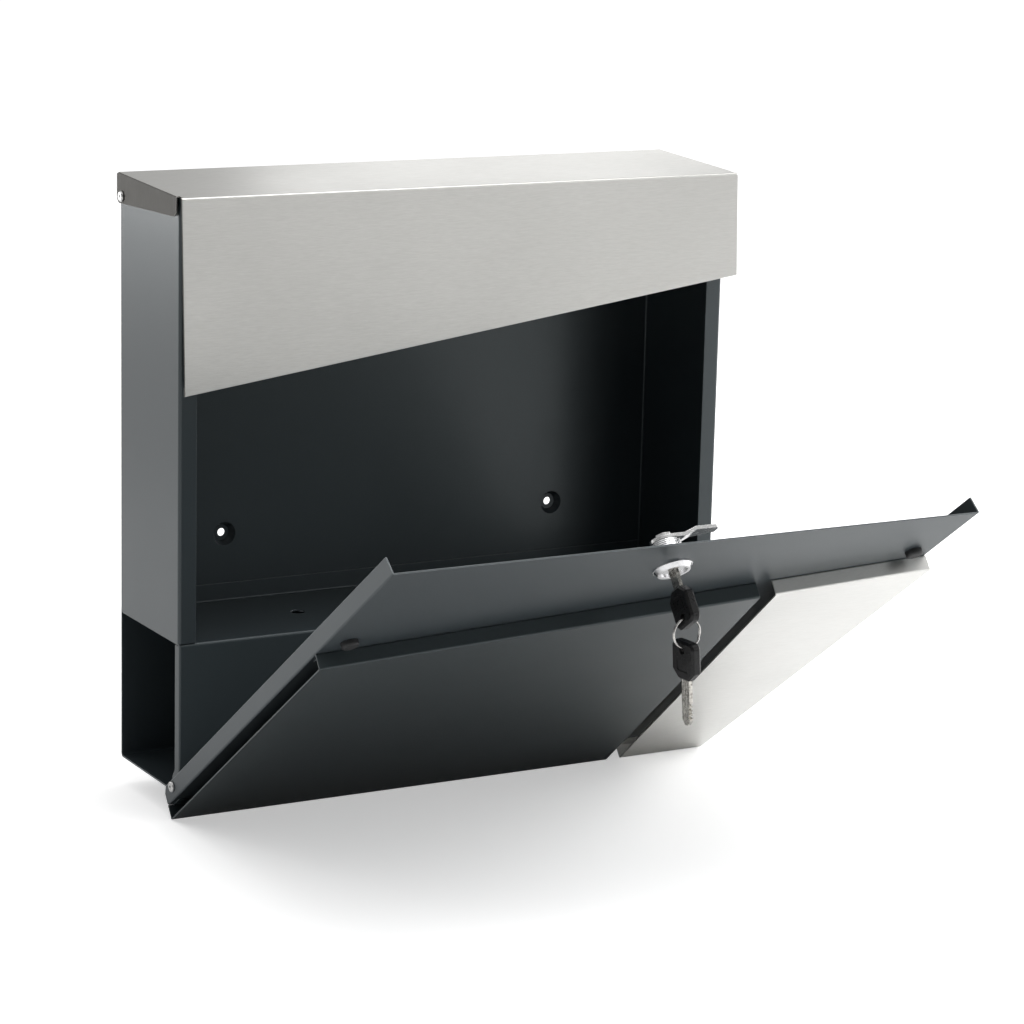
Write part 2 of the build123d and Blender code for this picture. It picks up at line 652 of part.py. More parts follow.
def door_sheet():
    """The door tray, shut: a face with returns at both sides and along the bottom."""
    t = DOOR_SHEET
    rear = DOOR_Y + DOOR_RETURN
    tray = box(-DOOR_HALF, DOOR_HALF, DOOR_Y, rear, DOOR_BOTTOM_Z, DOOR_TOP_Z)
    front_edges = edges_at_y(tray, DOOR_Y)
    bent = front_edges.filter_by(Axis.Z) + front_edges.filter_by(Axis.X).sort_by(Axis.Z)[:1]
    tray = fillet(bent, DOOR_BEND)
    hollow = box(
        -DOOR_HALF + t, DOOR_HALF - t, DOOR_Y + t, rear + 1, DOOR_BOTTOM_Z + t, DOOR_TOP_Z + 1
    )
    tray -= hollow

    # Side returns: sloped at the top, cut off at the lower rear corner.
    tray -= side_section(
        [
            (DOOR_Y + t, DOOR_TOP_Z),
            (rear + 1, DOOR_TOP_Z - DOOR_TOP_SLOPE),
            (rear + 1, DOOR_TOP_Z + 1),
        ],
        -DOOR_HALF - 1,
        DOOR_HALF + 1,
    )
    cut = DOOR_RETURN_CUT
    tray -= side_section(
        [
            (rear + 0.01, DOOR_BOTTOM_Z + cut),
            (rear - cut, DOOR_BOTTOM_Z - 0.01),
            (rear + 0.01, DOOR_BOTTOM_Z - 0.01),
        ],
        -DOOR_HALF - 1,
        DOOR_HALF + 1,
    )

    # The bottom return ends where it meets the tube's underside at the open stop.
    angle = math.radians(DOOR_OPEN)
    lever = (DOOR_BELOW_HINGE - t) * math.cos(angle)
    reach = (HINGE_UP + DOOR_STOP_GAP - lever) / math.sin(angle)
    relief_half = DOOR_HALF - t - DOOR_CORNER_RELIEF
    tray -= box(
        -DOOR_HALF + t, DOOR_HALF - t, HINGE_Y - reach, rear + 1, DOOR_BOTTOM_Z - 1, DOOR_BOTTOM_Z + t
    )
    relief_front = DOOR_Y + DOOR_RELIEF_BEHIND_FACE
    tray -= both_sides(
        box(relief_half, DOOR_HALF - t, relief_front, rear + 1, DOOR_BOTTOM_Z - 1, DOOR_BOTTOM_Z + t)
    )

    tray -= both_sides(
        bar_x(DOOR_HALF - 3, DOOR_HALF + 1, HINGE_Y, HINGE_Z, PIVOT_SHANK + RUNNING_FIT)
    )
    tray -= LOCK * Cylinder(BARREL_RADIUS + BARREL_SLACK, 10)
    for x, z in left_rivets() + right_rivets():
        tray -= bar_y(x, DOOR_Y - 1, DOOR_Y + 2, z, PIVOT_SHANK)
    return tray


def parting_x(z, side):
    """Where a panel ends at the parting gap: side is -1 for left and 1 for right."""
    half = PANEL_PARTING / 2 / math.cos(math.radians(SLANT))
    return PARTING_X - SLANT_SLOPE * (z - HINGE_Z - PARTING_UP) + side * half


def parting_top(side):
    """The top corner of a panel at the parting gap."""
    x = PARTING_X
    for _ in range(20):
        x = parting_x(panel_top_z(x), side)
    return x, panel_top_z(x)


def raised_panel(corners, outer_x, inner_x, rivets):
    """A raised panel: a face, a fold back to the door at the top and bottom, and the
    flat returns that are riveted to it. The corners run bottom left, bottom right, top
    right, top left."""
    t = PANEL_SHEET
    bottom_left, bottom_right, top_right, top_left = corners
    shape = front_section(corners, PANEL_Y, PANEL_STANDOFF)
    along = math.hypot(1, SLANT_SLOPE)
    low = (bottom_left[0] - 60, bottom_right[0] + 60)
    line = [(x, panel_top_z(x) - t * along) for x in low]
    hollow = front_section(
        [(low[0], DOOR_BOTTOM_Z + t), (low[1], DOOR_BOTTOM_Z + t), line[1], line[0]],
        PANEL_Y + t,
        PANEL_STANDOFF,
    )
    shape -= hollow
    edges = edges_at_y(shape, PANEL_Y)
    folded = edges.filter_by(lambda e: abs(e.center().Z - top_left[1]) < 60 and e.length > 40)
    top_edge = folded.sort_by(Axis.Z)[-1:]
    bottom_edge = edges.sort_by(Axis.Z)[:1]
    shape = fillet(top_edge + bottom_edge, PANEL_BEND)

    # Flat returns against the door sheet.
    x0 = min(outer_x, inner_x) + PANEL_END_SETBACK
    x1 = max(outer_x, inner_x) - PANEL_END_SETBACK
    top_return = [
        (x0, panel_top_z(x0) - t),
        (x0, panel_top_z(x0) - PANEL_RETURN),
        (x1, panel_top_z(x1) - PANEL_RETURN),
        (x1, panel_top_z(x1) - t),
    ]
    bottom_return = [
        (x0, DOOR_BOTTOM_Z + t / 2),
        (x1, DOOR_BOTTOM_Z + t / 2),
        (x1, DOOR_BOTTOM_Z + PANEL_RETURN),
        (x0, DOOR_BOTTOM_Z + PANEL_RETURN),
    ]
    shape += front_section(top_return, DOOR_Y - t, t)
    shape += front_section(bottom_return, DOOR_Y - t, t)
    against_door = edges_at_y(shape, DOOR_Y).filter_by(lambda e: e.length > PANEL_RIVET_EDGE)
    roots = against_door.sort_by(Axis.Z)
    shape = fillet(roots[:1] + roots[-1:], t - 0.1)
    for x, z in rivets:
        shape -= bar_y(x, DOOR_Y - 2 * t, DOOR_Y + t, z, PIVOT_SHANK)
    return shape


def left_corners():
    return [
        (-DOOR_HALF, DOOR_BOTTOM_Z),
        (parting_x(DOOR_BOTTOM_Z, -1), DOOR_BOTTOM_Z),
        parting_top(-1),
        (-DOOR_HALF, panel_top_z(-DOOR_HALF)),
    ]


def right_corners():
    return [
        (parting_x(DOOR_BOTTOM_Z, 1), DOOR_BOTTOM_Z),
        (DOOR_HALF, DOOR_BOTTOM_Z),
        (DOOR_HALF, panel_top_z(DOOR_HALF)),
        parting_top(1),
    ]


def rivet_row(x0, x1, count):
    """Rivet places along the top and bottom returns between x0 and x1."""
    places = []
    for i in range(count):
        x = x0 + (x1 - x0) * i / (count - 1)
        places.append((x, panel_top_z(x) - PANEL_RETURN / 2))
        places.append((x, DOOR_BOTTOM_Z + PANEL_RETURN / 2))
    return places


def left_rivets():
    return rivet_row(-DOOR_HALF + PANEL_RIVET_EDGE, parting_top(-1)[0] - PANEL_RIVET_INNER_EDGE, 4)


def right_rivets():
    inner = parting_x(DOOR_BOTTOM_Z, 1) + PANEL_RIVET_INNER_EDGE
    return rivet_row(inner, DOOR_HALF - PANEL_RIVET_EDGE, 2)


def panel_rivet(x, z):
    """A blind rivet along Y through door sheet and panel return, head inside the door."""
    inside = DOOR_Y + DOOR_SHEET
    far = DOOR_Y - PANEL_SHEET
    head = bar_y(x, inside, inside + PANEL_RIVET_HEIGHT, z, PANEL_RIVET_HEAD)
    head = fillet(head.edges().filter_by(GeomType.CIRCLE).sort_by(Axis.Y)[-1], PANEL_RIVET_ROUND)
    shank = bar_y(x, far, inside, z, PIVOT_SHANK)
    tail = bar_y(x, far - PANEL_RIVET_TAIL_LENGTH, far, z, PIVOT_TAIL)
    return head + shank + tail


def group(shapes):
    """Several like pieces as one node."""
    return Compound(children=list(shapes))


def door_buffers():
    """Two domed rubber buffers, stuck to the door just above the raised panels."""
    pieces = []
    for x in (-DOOR_HALF + BUFFER_FROM_EDGE, DOOR_HALF - BUFFER_FROM_EDGE):
        z = panel_top_z(x) + BUFFER_ABOVE_PANEL
        disc = bar_y(x, DOOR_Y - BUFFER_HEIGHT, DOOR_Y, z, BUFFER_RADIUS)
        edge = disc.edges().filter_by(GeomType.CIRCLE).sort_by(Axis.Y)[0]
        pieces.append(fillet(edge, BUFFER_ROUND))
    return group(pieces)


# ---------------------------------------------------------------- the lock


def lock_housing():
    """Flange with a sloped rim and a dished face, and the barrel through the door."""
    rim = Pos(0, 0, LOCK_RIM_HEIGHT / 2) * Cylinder(LOCK_FLANGE_RADIUS, LOCK_RIM_HEIGHT)
    slope_height = LOCK_FACE_HEIGHT - LOCK_RIM_HEIGHT
    slope = Pos(0, 0, LOCK_RIM_HEIGHT + slope_height / 2) * Cone(
        LOCK_FLANGE_RADIUS - LOCK_RIM_STEP, LOCK_FACE_RADIUS, slope_height
    )
    dish = Pos(0, 0, LOCK_FACE_HEIGHT - LOCK_DISH_DEPTH / 2) * Cylinder(
        LOCK_DISH_RADIUS, LOCK_DISH_DEPTH
    )
    barrel = Pos(0, 0, LOCK_REAR / 2) * Cylinder(BARREL_RADIUS, BARREL_LENGTH)
    bore = Cylinder(PLUG_RADIUS + RUNNING_FIT, 3 * BARREL_LENGTH)
    return LOCK * (rim + slope - dish + barrel - bore)


def hexagon_nut(flats, thickness, hole, top):
    """A hexagon nut whose upper face is at top."""
    body = extrude(Pos(0, 0, top) * RegularPolygon(flats / 2, 6, major_radius=False), -thickness)
    return body - Pos(0, 0, top) * Cylinder(hole, 3 * thickness)


def wafer_places():
    """Heights of the wafers along the plug, from the door's face."""
    return [-WAFER_FIRST - WAFER_PITCH * i for i in range(WAFER_COUNT)]


def lock_plug():
    """The turning core: keyway and wafer slots, square spindle and threaded stud."""
    face = LOCK_FACE_HEIGHT - LOCK_DISH_DEPTH
    core = Pos(0, 0, (face + LOCK_REAR) / 2) * Cylinder(PLUG_RADIUS, face - LOCK_REAR)
    core = fillet(core.edges().filter_by(GeomType.CIRCLE).sort_by(Axis.Z)[-1], PLUG_EDGE_ROUND)
    keyway_depth = KEY_TIP_DEPTH + KEYWAY_SLACK + face
    core -= Pos(0, 0, face - keyway_depth / 2) * Box(
        BLADE_THICKNESS + 2 * KEYWAY_SLACK, BLADE_WIDTH + 2 * KEYWAY_SLACK, keyway_depth
    )
    slot = Box(
        WAFER_WIDTH + 2 * WAFER_SLACK,
        WAFER_HEIGHT + 2 * WAFER_SLACK,
        WAFER_THICKNESS + 2 * WAFER_SLACK,
    )
    for z in wafer_places():
        core -= Pos(0, 0, z) * slot
    square_end = CAM_REAR + SPINDLE_SHORT
    core += Pos(0, 0, (LOCK_REAR + square_end) / 2) * Box(
        SPINDLE_SIDE, SPINDLE_SIDE, LOCK_REAR - square_end
    )
    core += Pos(0, 0, square_end - STUD_LENGTH / 2) * Cylinder(STUD_RADIUS, STUD_LENGTH)
    return LOCK * core


def lock_wafers():
    """Spring brass wafers in the plug, each with a window that the key passes through."""
    blank = Box(WAFER_WIDTH, WAFER_HEIGHT, WAFER_THICKNESS)
    window = Box(
        BLADE_THICKNESS + 2 * KEYWAY_SLACK, BLADE_WIDTH + 2 * KEYWAY_SLACK, WAFER_THICKNESS
    )
    return group([LOCK * Pos(0, 0, z) * (blank - window) for z in wafer_places()])


def lock_cam():
    """The locking bar: a round root on the spindle and an arm that is cranked away from
    the door and narrows to the right, straight along its upper edge."""
    arm = outline(
        [
            (0, -CAM_ROOT_RADIUS + CAM_TIP_ROUND / 2),
            (CAM_REACH, CAM_ROOT_RADIUS - CAM_TIP_WIDTH, CAM_TIP_ROUND),
            (CAM_REACH, CAM_ROOT_RADIUS, CAM_TIP_ROUND),
            (0, CAM_ROOT_RADIUS),
        ]
    )
    low = CAM_REAR - CAM_CRANK
    plate = extrude(Pos(0, 0, low) * (arm + Circle(CAM_ROOT_RADIUS)), CAM_CRANK + CAM_SHEET)
    profile = outline(
        [
            (-CAM_REACH, CAM_REAR),
            (CRANK_START, CAM_REAR, CRANK_BEND),
            (CRANK_END, low, CRANK_BEND),
            (2 * CAM_REACH, low),
            (2 * CAM_REACH, low + CAM_SHEET),
            (CRANK_END, low + CAM_SHEET, CRANK_BEND),
            (CRANK_START, CAM_FRONT, CRANK_BEND),
            (-CAM_REACH, CAM_FRONT),
        ]
    )
    plate &= extrude(Plane.XZ * profile, CAM_REACH, both=True)
    hole = SPINDLE_SIDE + 2 * SPINDLE_SLACK
    plate -= Pos(0, 0, CAM_REAR) * Box(hole, hole, 3 * CAM_SHEET)
    return LOCK * plate


def cam_washer():
    middle = CAM_REAR - CAM_WASHER_THICKNESS / 2
    ring = Cylinder(CAM_WASHER_RADIUS, CAM_WASHER_THICKNESS)
    ring -= Cylinder(STUD_RADIUS + WASHER_SLACK, 2 * CAM_WASHER_THICKNESS)
    return LOCK * Pos(0, 0, middle) * ring


def lock():
    """The lock's pieces, in the middle of the door."""
    save_on_door("lock_housing", lock_housing())
    nut_hole = BARREL_RADIUS
    nut = hexagon_nut(LOCK_NUT_FLATS, LOCK_NUT_THICKNESS, nut_hole, -DOOR_SHEET)
    save_on_door("lock_nut", LOCK * nut)
    save_on_door("lock_plug", lock_plug())
    save_on_door("lock_wafers", lock_wafers())
    save_on_door("lock_cam", lock_cam())
    save_on_door("cam_washer", cam_washer())
    cam_nut_top = CAM_REAR - CAM_WASHER_THICKNESS
    cam_nut = hexagon_nut(CAM_NUT_FLATS, CAM_NUT_THICKNESS, STUD_RADIUS, cam_nut_top)
    save_on_door("cam_nut", LOCK * cam_nut)


# ---------------------------------------------------------------- the keys


def key_blade():
    """A flat key blade, tip at the origin and running up +Z, teeth along one edge."""
    half = BLADE_WIDTH / 2
    length = BLADE_LENGTH + BLADE_TANG
    corners = [
        (-half, BLADE_POINT_LENGTH, BLADE_SHOULDER_ROUND),
        (-BLADE_POINT_HALF, 0, BLADE_POINT_ROUND),
        (BLADE_POINT_HALF, 0, BLADE_POINT_ROUND),
        (half, BLADE_POINT_LENGTH, BLADE_SHOULDER_ROUND),
        (half, length),
        (-half, length),
    ]
    blade = extrude(Plane.YZ * outline(corners), BLADE_THICKNESS / 2, both=True)
    reach = TOOTH_WIDTH / 2
    for place, depth in zip(wafer_places(), TOOTH_DEPTHS):
        z = KEY_TIP_DEPTH + place
        tooth = [(-half - 0.1, z - reach), (-half - 0.1, z + reach), (-half + depth, z)]
        blade -= extrude(Plane.YZ * outline(tooth), BLADE_THICKNESS, both=True)
    groove = Box(2 * GROOVE_DEPTH, GROOVE_WIDTH, BLADE_LENGTH + 2 * GROOVE_INTO_BOW)
    return blade - Pos(BLADE_THICKNESS / 2, GROOVE_OFFSET, BLADE_LENGTH / 2) * groove


def key_head():
    """The moulded bow: sloped shoulders, a thumb recess, a ring hole and a tang slot."""
    half = HEAD_WIDTH / 2
    top = BLADE_LENGTH + HEAD_LENGTH
    neck = HEAD_NECK_WIDTH / 2
    shoulder = BLADE_LENGTH + HEAD_SHOULDER
    shape = outline(
        [
            (-neck, BLADE_LENGTH, HEAD_NECK_ROUND),
            (neck, BLADE_LENGTH, HEAD_NECK_ROUND),
            (half, shoulder, HEAD_SHOULDER_ROUND),
            (half, top, HEAD_CORNER_ROUND),
            (-half, top, HEAD_CORNER_ROUND),
            (-half, shoulder, HEAD_SHOULDER_ROUND),
        ]
    )
    head = extrude(Plane.YZ * shape, HEAD_THICKNESS / 2, both=True)
    faces = head.faces().sort_by(Axis.X)
    head = chamfer(faces[0].edges() + faces[-1].edges(), HEAD_BEVEL)
    recess = Box(2 * THUMB_RECESS_DEPTH, THUMB_RECESS_WIDTH, THUMB_RECESS_LENGTH)
    recess = fillet(recess.edges().filter_by(Axis.X), THUMB_RECESS_ROUND)
    recess = Pos(HEAD_THICKNESS / 2, 0, BLADE_LENGTH + THUMB_RECESS_UP) * recess
    head -= both_sides(recess)
    head -= Pos(0, 0, top - HEAD_HOLE_EDGE) * Rot(0, 90, 0) * Cylinder(HEAD_HOLE_RADIUS, 2 * HEAD_THICKNESS)
    tang = Pos(0, 0, BLADE_LENGTH + BLADE_TANG / 2) * Box(BLADE_THICKNESS, BLADE_WIDTH, BLADE_TANG)
    return head - tang


def keys():
    """One key in the lock, the ring through its bow, and the other key hanging from it."""
    in_lock = LOCK * Pos(0, 0, -KEY_TIP_DEPTH)
    save_on_door("key_blade", in_lock * key_blade())
    save_on_door("key_head", in_lock * key_head())

    # The bow's hole, carried round with the door to its open place.
    out = BLADE_LENGTH + HEAD_LENGTH - HEAD_HOLE_EDGE - KEY_TIP_DEPTH
    angle = math.radians(DOOR_OPEN)
    along = LOCK_Z - HINGE_Z
    away = HINGE_Y - DOOR_Y + out
    hole_y = HINGE_Y - along * math.sin(angle) - away * math.cos(angle)
    hole_z = HINGE_Z + along * math.cos(angle) - away * math.sin(angle)

    ring_top = hole_z - RING_SAG
    ring = Pos(0, hole_y, ring_top - RING_RADIUS) * Rot(90, 0, 0)
    save("key_ring", ring * Torus(RING_RADIUS, RING_WIRE_RADIUS))

    ring_bottom = ring_top - 2 * RING_RADIUS
    spare_hole = BLADE_LENGTH + HEAD_LENGTH - HEAD_HOLE_EDGE
    spare_z = ring_bottom - RING_SAG
    spare = Pos(0, hole_y, spare_z) * Rot(0, 0, SPARE_TURN) * Rot(0, -SPARE_LEAN, 0)
    spare *= Pos(0, 0, -spare_hole)
    save("spare_key_blade", spare * key_blade())
    save("spare_key_head", spare * key_head())
    return hole_y, hole_z, spare_z


# ---------------------------------------------------------------- build

save("case_shell", case_shell())
save("newspaper_bin", newspaper_bin())
save("top_rail", top_rail())
save("flap", flap())
pivots()
save_on_door("door_sheet", door_sheet())
save_on_door(
    "door_panel_dark",
    raised_panel(left_corners(), -DOOR_HALF, parting_top(-1)[0], left_rivets()),
)
save_on_door(
    "door_panel_steel",
    raised_panel(
        right_corners(), parting_x(DOOR_BOTTOM_Z, 1), DOOR_HALF, right_rivets()
    ),
)
save_on_door("dark_panel_rivets", group([panel_rivet(x, z) for x, z in left_rivets()]))
save_on_door("steel_panel_rivets", group([panel_rivet(x, z) for x, z in right_rivets()]))
save_on_door("door_buffers", door_buffers())
lock()
key_hole_y, key_hole_z, spare_hole_z = keys()

print("flap pivot", PIVOT_Y, PIVOT_Z)
print("door hinge", HINGE_Y, HINGE_Z)
print("lock, door shut", DOOR_Y, LOCK_Z)
print("key hole at rest", key_hole_y, key_hole_z, "spare key's hole", spare_hole_z)
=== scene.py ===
import json
import math

import bmesh
import bpy
from mathutils import Matrix, Vector


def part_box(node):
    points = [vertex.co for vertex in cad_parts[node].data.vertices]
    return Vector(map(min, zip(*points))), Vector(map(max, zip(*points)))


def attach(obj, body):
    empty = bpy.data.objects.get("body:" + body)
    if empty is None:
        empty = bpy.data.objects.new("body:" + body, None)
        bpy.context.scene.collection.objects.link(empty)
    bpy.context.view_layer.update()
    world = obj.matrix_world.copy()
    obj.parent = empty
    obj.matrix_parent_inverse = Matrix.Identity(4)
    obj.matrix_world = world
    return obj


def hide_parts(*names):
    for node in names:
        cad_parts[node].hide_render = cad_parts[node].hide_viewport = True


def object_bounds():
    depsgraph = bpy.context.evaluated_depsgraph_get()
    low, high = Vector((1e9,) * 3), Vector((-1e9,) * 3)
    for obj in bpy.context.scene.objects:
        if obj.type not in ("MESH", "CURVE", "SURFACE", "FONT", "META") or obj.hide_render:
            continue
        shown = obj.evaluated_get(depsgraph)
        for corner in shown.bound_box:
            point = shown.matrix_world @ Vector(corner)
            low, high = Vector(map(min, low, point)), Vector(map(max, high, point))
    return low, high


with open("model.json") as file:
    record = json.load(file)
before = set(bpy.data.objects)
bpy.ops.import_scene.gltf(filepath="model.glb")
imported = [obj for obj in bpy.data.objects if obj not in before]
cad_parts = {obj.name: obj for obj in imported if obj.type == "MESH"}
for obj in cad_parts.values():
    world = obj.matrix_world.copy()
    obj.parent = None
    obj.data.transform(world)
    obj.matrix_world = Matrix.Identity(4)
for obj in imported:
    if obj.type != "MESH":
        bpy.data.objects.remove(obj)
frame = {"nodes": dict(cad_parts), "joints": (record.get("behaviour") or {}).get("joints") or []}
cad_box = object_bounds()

# ---------------------------------------------------------------- the view
# A long lens a little over two metres away, low on the left of the mailbox, looking
# slightly down at it, as for a catalogue picture of a small sheet metal product.

view_place = Vector((-0.96797, -1.89912, 0.39938))
view_yaw = math.radians(29.12)
view_pitch = math.radians(12.7)
view_roll = math.radians(1.41)
ahead = Vector(
    (
        math.sin(view_yaw) * math.cos(view_pitch),
        math.cos(view_yaw) * math.cos(view_pitch),
        -math.sin(view_pitch),
    )
)
level_right = Vector((math.cos(view_yaw), -math.sin(view_yaw), 0))
level_up = level_right.cross(ahead)
right = level_right * math.cos(view_roll) + level_up * math.sin(view_roll)
up = level_up * math.cos(view_roll) - level_right * math.sin(view_roll)

camera = bpy.data.objects.new("catalogue_camera", bpy.data.cameras.new("catalogue_camera"))
camera.data.sensor_width = 36
camera.data.lens = 121.68
camera.data.clip_start = 0.05
camera.data.clip_end = 60
turn = Matrix((right, up, -ahead)).transposed().to_4x4()
camera.matrix_world = Matrix.Translation(view_place) @ turn
bpy.context.scene.collection.objects.link(camera)
bpy.context.scene.camera = camera
bpy.context.scene.view_settings.view_transform = "Standard"

# ---------------------------------------------------------------- the studio
# A white sweep with the mailbox standing on it: lit paper below, a bright wall behind, a
# dimmer room in front, and softboxes overhead, behind on both sides and in front.

white_paper = bpy.data.worlds.new("white_paper")
bpy.context.scene.world = white_paper
white_paper.use_nodes = True
tree = white_paper.node_tree
tree.nodes.clear()
direction = tree.nodes.new("ShaderNodeTexCoord")
split = tree.nodes.new("ShaderNodeSeparateXYZ")
depth = tree.nodes.new("ShaderNodeMapRange")
depth.interpolation_type = "SMOOTHSTEP"
depth.inputs["From Min"].default_value = -0.5
depth.inputs["From Max"].default_value = 0.35
depth.inputs["To Min"].default_value = 0.24
depth.inputs["To Max"].default_value = 0.50
height = tree.nodes.new("ShaderNodeMapRange")
height.interpolation_type = "SMOOTHSTEP"
height.inputs["From Min"].default_value = 0.45
height.inputs["From Max"].default_value = 0.9
height.inputs["To Min"].default_value = 0.0
height.inputs["To Max"].default_value = 0.8
total = tree.nodes.new("ShaderNodeMath")
around = tree.nodes.new("ShaderNodeBackground")
seen = tree.nodes.new("ShaderNodeBackground")
ray = tree.nodes.new("ShaderNodeLightPath")
either = tree.nodes.new("ShaderNodeMixShader")
world_out = tree.nodes.new("ShaderNodeOutputWorld")
tree.links.new(direction.outputs["Generated"], split.inputs[0])
tree.links.new(split.outputs["Y"], depth.inputs["Value"])
tree.links.new(split.outputs["Z"], height.inputs["Value"])
tree.links.new(depth.outputs[0], total.inputs[0])
tree.links.new(height.outputs[0], total.inputs[1])
tree.links.new(total.outputs[0], around.inputs["Strength"])
tree.links.new(ray.outputs["Is Camera Ray"], either.inputs[0])
tree.links.new(around.outputs[0], either.inputs[1])
tree.links.new(seen.outputs[0], either.inputs[2])
tree.links.new(either.outputs[0], world_out.inputs[0])
seen.inputs["Color"].default_value = (1, 1, 1, 1)


def softbox(name, place, aim, size, watts):
    """A square softbox that lights the mailbox but is itself out of sight."""
    light = bpy.data.lights.new(name, "AREA")
    light.size = size
    light.energy = watts
    box = bpy.data.objects.new(name, light)
    box.location = place
    box.rotation_euler = (Vector(aim) - Vector(place)).to_track_quat("-Z", "Y").to_euler()
    box.visible_camera = False
    bpy.context.scene.collection.objects.link(box)
    return box


softbox("overhead_softbox", (0.5, -0.4, 2.6), (0.1, -0.2, -0.2), 2.0, 30)
softbox("right_softbox", (1.9, -0.5, 0.75), (0.1, -0.2, -0.25), 0.9, 26)
softbox("left_softbox", (-0.66, 0.76, 0.09), (-0.18, -0.05, 0.13), 0.20, 1.1)
softbox("back_softbox", (0.72, 1.15, 0.46), (0.05, -0.05, 0.14), 0.50, 0.76)
softbox("front_softbox", (1.5, -2.6, 0.9), (0, -0.1, 0), 1.2, 6.2)

floor = bpy.data.objects.new("paper_floor", bpy.data.meshes.new("paper_floor"))
sweep = bmesh.new()
bmesh.ops.create_grid(sweep, x_segments=1, y_segments=1, size=9)
bmesh.ops.translate(sweep, verts=sweep.verts, vec=(0, 0, cad_box[0].z - 0.0006))
sweep.to_mesh(floor.data)
sweep.free()
paper = bpy.data.materials.new("paper")
paper.use_nodes = True
paper_shader = paper.node_tree.nodes["Principled BSDF"]
paper_shader.inputs["Base Color"].default_value = (0.9, 0.9, 0.9, 1)
paper_shader.inputs["Roughness"].default_value = 0.9
paper_shader.inputs["Specular IOR Level"].default_value = 0.1
paper_shader.inputs["Emission Color"].default_value = (1, 1, 1, 1)
paper_ray = paper.node_tree.nodes.new("ShaderNodeLightPath")
paper_glow = paper.node_tree.nodes.new("ShaderNodeMath")
paper_glow.operation = "MULTIPLY"
paper_glow.inputs[1].default_value = 0.45
paper.node_tree.links.new(paper_ray.outputs["Is Camera Ray"], paper_glow.inputs[0])
paper.node_tree.links.new(paper_glow.outputs[0], paper_shader.inputs["Emission Strength"])
floor.data.materials.append(paper)
bpy.context.scene.collection.objects.link(floor)

# ---------------------------------------------------------------- the case
# One folded sheet of galvanised steel: back, sides and in-turned front edges, run down
# to a tray under the newspaper tube. It is powder coated anthracite with a fine texture.


def node(tree, kind, **values):
    """A shader node with some of its input sockets or properties set."""
    made = tree.nodes.new("ShaderNode" + kind)
    for name, value in values.items():
        socket = name.replace("_", " ").title().replace("Ior", "IOR")
        if socket in made.inputs:
            made.inputs[socket].default_value = value
        else:
            setattr(made, name, value)
    return made


def group_of(name, inputs, outputs):
    """An empty shader node group with named float, colour or vector sockets."""
    made = bpy.data.node_groups.new(name, "ShaderNodeTree")
    for socket, kind, value in inputs:
        put = made.interface.new_socket(socket, in_out="INPUT", socket_type="NodeSocket" + kind)
        put.default_value = value
    for socket, kind in outputs:
        made.interface.new_socket(socket, in_out="OUTPUT", socket_type="NodeSocket" + kind)
    return made, made.nodes.new("NodeGroupInput"), made.nodes.new("NodeGroupOutput")


def math_of(tree, operation, a, b=None, clamp=False):
    """A Math node on two sockets or numbers."""
    made = tree.nodes.new("ShaderNodeMath")
    made.operation = operation
    made.use_clamp = clamp
    for place, value in enumerate((a, b)):
        if value is None:
            continue
        if isinstance(value, (int, float)):
            made.inputs[place].default_value = value
        else:
            tree.links.new(value, made.inputs[place])
    return made.outputs[0]


# Powder coat: a fine orange peel with single raised specks, and slow clouds in its depth.
powder, powder_in, powder_out = group_of(
    "powder_coat",
    [("Peel Size", "Float", 700.0), ("Speck Size", "Float", 2600.0)],
    [("Height", "Float"), ("Speck", "Float"), ("Cloud", "Float")],
)
coordinates = node(powder, "TexCoord")
peel = node(powder, "TexNoise", detail=2.0, roughness=0.5)
speck = node(powder, "TexNoise", detail=1.0, roughness=0.4)
cloud = node(powder, "TexNoise", scale=9.0, detail=3.0, roughness=0.6)
for texture in (peel, speck, cloud):
    powder.links.new(coordinates.outputs["Object"], texture.inputs["Vector"])
powder.links.new(powder_in.outputs["Peel Size"], peel.inputs["Scale"])
powder.links.new(powder_in.outputs["Speck Size"], speck.inputs["Scale"])
grain = math_of(powder, "MULTIPLY", speck.outputs[0], 0.6)
powder.links.new(math_of(powder, "ADD", peel.outputs[0], grain), powder_out.inputs["Height"])
raised = node(powder, "MapRange", from_min=0.62, from_max=0.78)
powder.links.new(speck.outputs[0], raised.inputs["Value"])
powder.links.new(raised.outputs[0], powder_out.inputs["Speck"])
powder.links.new(cloud.outputs[0], powder_out.inputs["Cloud"])

# Soft edges: how far a rounded normal leans away from the flat one marks every edge.
edges, edges_in, edges_out = group_of(
    "soft_edges", [("Radius", "Float", 0.0006)], [("Normal", "Vector"), ("Edge", "Float")]
)
rounded = node(edges, "Bevel", samples=6)
flat = node(edges, "NewGeometry")
lean = node(edges, "VectorMath", operation="DOT_PRODUCT")
edges.links.new(edges_in.outputs["Radius"], rounded.inputs["Radius"])
edges.links.new(rounded.outputs[0], lean.inputs[0])
edges.links.new(flat.outputs["Normal"], lean.inputs[1])
edge = node(edges, "MapRange", from_min=0.995, from_max=0.86)
edges.links.new(lean.outputs["Value"], edge.inputs["Value"])
edges.links.new(rounded.outputs[0], edges_out.inputs["Normal"])
edges.links.new(edge.outputs[0], edges_out.inputs["Edge"])


def place_group(tree, group, **values):
    """A group placed in a material, with its own values."""
    made = tree.nodes.new("ShaderNodeGroup")
    made.node_tree = group
    for name, value in values.items():
        made.inputs[name.replace("_", " ").title()].default_value = value
    return made


